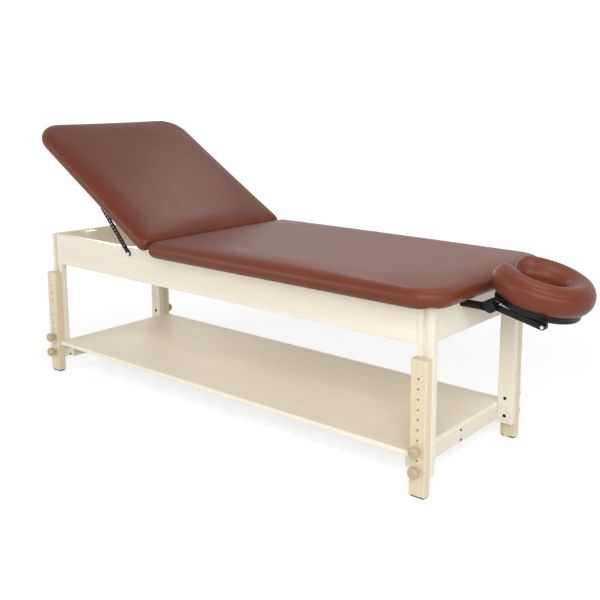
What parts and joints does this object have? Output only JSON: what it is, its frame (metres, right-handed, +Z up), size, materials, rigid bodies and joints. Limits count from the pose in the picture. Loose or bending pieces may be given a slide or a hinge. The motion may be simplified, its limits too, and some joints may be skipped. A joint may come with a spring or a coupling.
{
  "type": "massage table",
  "caption": "Stationary wooden massage table with brown padded top, lifting backrest on ratchet stays, lower shelf, height-adjustable legs and a tilting face cradle.",
  "frame": {"origin": "on the floor, under the middle of the part's bounding box", "axes": "+X along the table to the face cradle's end, +Y across to the back, +Z up"},
  "size_m": [2.0635, 0.68, 0.9611],
  "materials": {
    "wood": "clear satin lacquer over pale hardwood",
    "shelf_board": "clear satin lacquer over pale veneered board",
    "plywood": "raw birch plywood",
    "vinyl": "dark brown upholstery vinyl, fine grain, semi-matte",
    "dark_steel": "black zinc, satin",
    "bright_steel": "bright zinc plate",
    "black_plastic": "moulded black nylon, matte",
    "foot_rubber": "black rubber, matte"
  },
  "bodies": {
    "frame": {"front_rail": "wood", "hinge_crossbar": "wood", "hinge_fixed_leaves": "bright_steel", "hinge_pins": "bright_steel", "left_apron": "wood", "left_cradle_sockets": "wood", "left_stretcher": "wood", "leg_bolts": "dark_steel", "leg_front_left": "wood", "leg_front_right": "wood", "leg_rear_left": "wood", "leg_rear_right": "wood", "main_cushion": "vinyl", "main_deck": "plywood", "middle_crossbar": "wood", "rear_rail": "wood", "right_apron": "wood", "right_cradle_sockets": "wood", "right_stretcher": "wood", "shelf": "shelf_board", "shelf_bearer": "wood", "stay_pivot_bolts": "bright_steel", "stretcher_bolts": "dark_steel"},
    "backrest": {"backrest_deck": "plywood", "backrest_cushion": "vinyl", "hinge_moving_leaves": "bright_steel", "stay_brackets": "bright_steel"},
    "stay_lower_front": {"stay_channel_front": "dark_steel"},
    "stay_upper_front": {"stay_strip_front": "bright_steel", "stay_rivet_front": "bright_steel"},
    "stay_lower_rear": {"stay_channel_rear": "dark_steel"},
    "stay_upper_rear": {"stay_strip_rear": "bright_steel", "stay_rivet_rear": "bright_steel"},
    "leg_slide_front_left": {"extension_front_left": "wood", "foot_front_left": "foot_rubber"},
    "knob_front_left_lower_turn": {"knob_front_left_lower": "wood"},
    "knob_front_left_upper_turn": {"knob_front_left_upper": "wood"},
    "leg_slide_front_right": {"extension_front_right": "wood", "foot_front_right": "foot_rubber"},
    "knob_front_right_lower_turn": {"knob_front_right_lower": "wood"},
    "knob_front_right_upper_turn": {"knob_front_right_upper": "wood"},
    "leg_slide_rear_left": {"extension_rear_left": "wood", "foot_rear_left": "foot_rubber"},
    "knob_rear_left_lower_turn": {"knob_rear_left_lower": "wood"},
    "knob_rear_left_upper_turn": {"knob_rear_left_upper": "wood"},
    "leg_slide_rear_right": {"extension_rear_right": "wood", "foot_rear_right": "foot_rubber"},
    "knob_rear_right_lower_turn": {"knob_rear_right_lower": "wood"},
    "knob_rear_right_upper_turn": {"knob_rear_right_upper": "wood"},
    "cradle_base": {"cradle_rods": "dark_steel", "cradle_bar": "black_plastic", "cradle_axle": "bright_steel"},
    "cradle_arms": {"cradle_arm_front": "black_plastic", "cradle_arm_rear": "black_plastic", "cradle_tip_rivets": "bright_steel"},
    "cradle_head": {"cradle_platform": "black_plastic", "cradle_cushion": "vinyl"},
    "cradle_lock": {"cradle_knob": "black_plastic"}
  },
  "joints": [
    {"name": "backrest_tilt", "type": "hinge", "parent": "frame", "child": "backrest", "pos_m": [-0.3725, 0, 0.57], "axis": [0, 1, 0], "range_deg": [-31.2, 8.6]},
    {"name": "stay_swing_front", "type": "hinge", "parent": "frame", "child": "stay_lower_front", "pos_m": [-0.5595, -0.25, 0.519], "axis": [0, 1, 0], "range_deg": [-46.5, 13.5]},
    {"name": "stay_reach_front", "type": "slide", "parent": "stay_lower_front", "child": "stay_upper_front", "axis": [-0.68, 0, 0.7332], "range_m": [-0.0705, 0.02]},
    {"name": "stay_swing_rear", "type": "hinge", "parent": "frame", "child": "stay_lower_rear", "pos_m": [-0.5595, 0.25, 0.519], "axis": [0, 1, 0], "range_deg": [-46.5, 13.5]},
    {"name": "stay_reach_rear", "type": "slide", "parent": "stay_lower_rear", "child": "stay_upper_rear", "axis": [-0.68, 0, 0.7332], "range_m": [-0.0705, 0.02]},
    {"name": "leg_height_front_left", "type": "slide", "parent": "frame", "child": "leg_slide_front_left", "axis": [0, 0, -1], "range_m": [0, 0.174]},
    {"name": "knob_front_left_lower_spin", "type": "hinge", "parent": "frame", "child": "knob_front_left_lower_turn", "pos_m": [-1.005, -0.28, 0.08], "axis": [0, 1, 0], "continuous": true},
    {"name": "knob_front_left_upper_spin", "type": "hinge", "parent": "frame", "child": "knob_front_left_upper_turn", "pos_m": [-1.005, -0.28, 0.138], "axis": [0, 1, 0], "continuous": true},
    {"name": "leg_height_front_right", "type": "slide", "parent": "frame", "child": "leg_slide_front_right", "axis": [0, 0, -1], "range_m": [0, 0.174]},
    {"name": "knob_front_right_lower_spin", "type": "hinge", "parent": "frame", "child": "knob_front_right_lower_turn", "pos_m": [0.678, -0.28, 0.08], "axis": [0, 1, 0], "continuous": true},
    {"name": "knob_front_right_upper_spin", "type": "hinge", "parent": "frame", "child": "knob_front_right_upper_turn", "pos_m": [0.678, -0.28, 0.138], "axis": [0, 1, 0], "continuous": true},
    {"name": "leg_height_rear_left", "type": "slide", "parent": "frame", "child": "leg_slide_rear_left", "axis": [0, 0, -1], "range_m": [0, 0.174]},
    {"name": "knob_rear_left_lower_spin", "type": "hinge", "parent": "frame", "child": "knob_rear_left_lower_turn", "pos_m": [-1.005, 0.28, 0.08], "axis": [0, 1, 0], "continuous": true},
    {"name": "knob_rear_left_upper_spin", "type": "hinge", "parent": "frame", "child": "knob_rear_left_upper_turn", "pos_m": [-1.005, 0.28, 0.138], "axis": [0, 1, 0], "continuous": true},
    {"name": "leg_height_rear_right", "type": "slide", "parent": "frame", "child": "leg_slide_rear_right", "axis": [0, 0, -1], "range_m": [0, 0.174]},
    {"name": "knob_rear_right_lower_spin", "type": "hinge", "parent": "frame", "child": "knob_rear_right_lower_turn", "pos_m": [0.678, 0.28, 0.08], "axis": [0, 1, 0], "continuous": true},
    {"name": "knob_rear_right_upper_spin", "type": "hinge", "parent": "frame", "child": "knob_rear_right_upper_turn", "pos_m": [0.678, 0.28, 0.138], "axis": [0, 1, 0], "continuous": true},
    {"name": "cradle_reach", "type": "slide", "parent": "frame", "child": "cradle_base", "axis": [1, 0, 0], "range_m": [0, 0.045]},
    {"name": "cradle_arm_tilt", "type": "hinge", "parent": "cradle_base", "child": "cradle_arms", "pos_m": [0.8055, 0, 0.529], "axis": [0, 1, 0], "range_deg": [-4, 40]},
    {"name": "cradle_head_tilt", "type": "hinge", "parent": "cradle_arms", "child": "cradle_head", "pos_m": [0.94854, 0, 0.49598], "axis": [0, 1, 0], "range_deg": [0, 30]},
    {"name": "cradle_lock_spin", "type": "hinge", "parent": "cradle_base", "child": "cradle_lock", "pos_m": [0.8055, -0.114, 0.529], "axis": [0, 1, 0], "continuous": true}
  ],
  "couplings": [
    {"joint": "stay_swing_front", "follows": "backrest_tilt", "ratio": 1.47},
    {"joint": "stay_reach_front", "follows": "backrest_tilt", "m_per_rad": 0.128},
    {"joint": "stay_swing_rear", "follows": "backrest_tilt", "ratio": 1.47},
    {"joint": "stay_reach_rear", "follows": "backrest_tilt", "m_per_rad": 0.128}
  ]
}
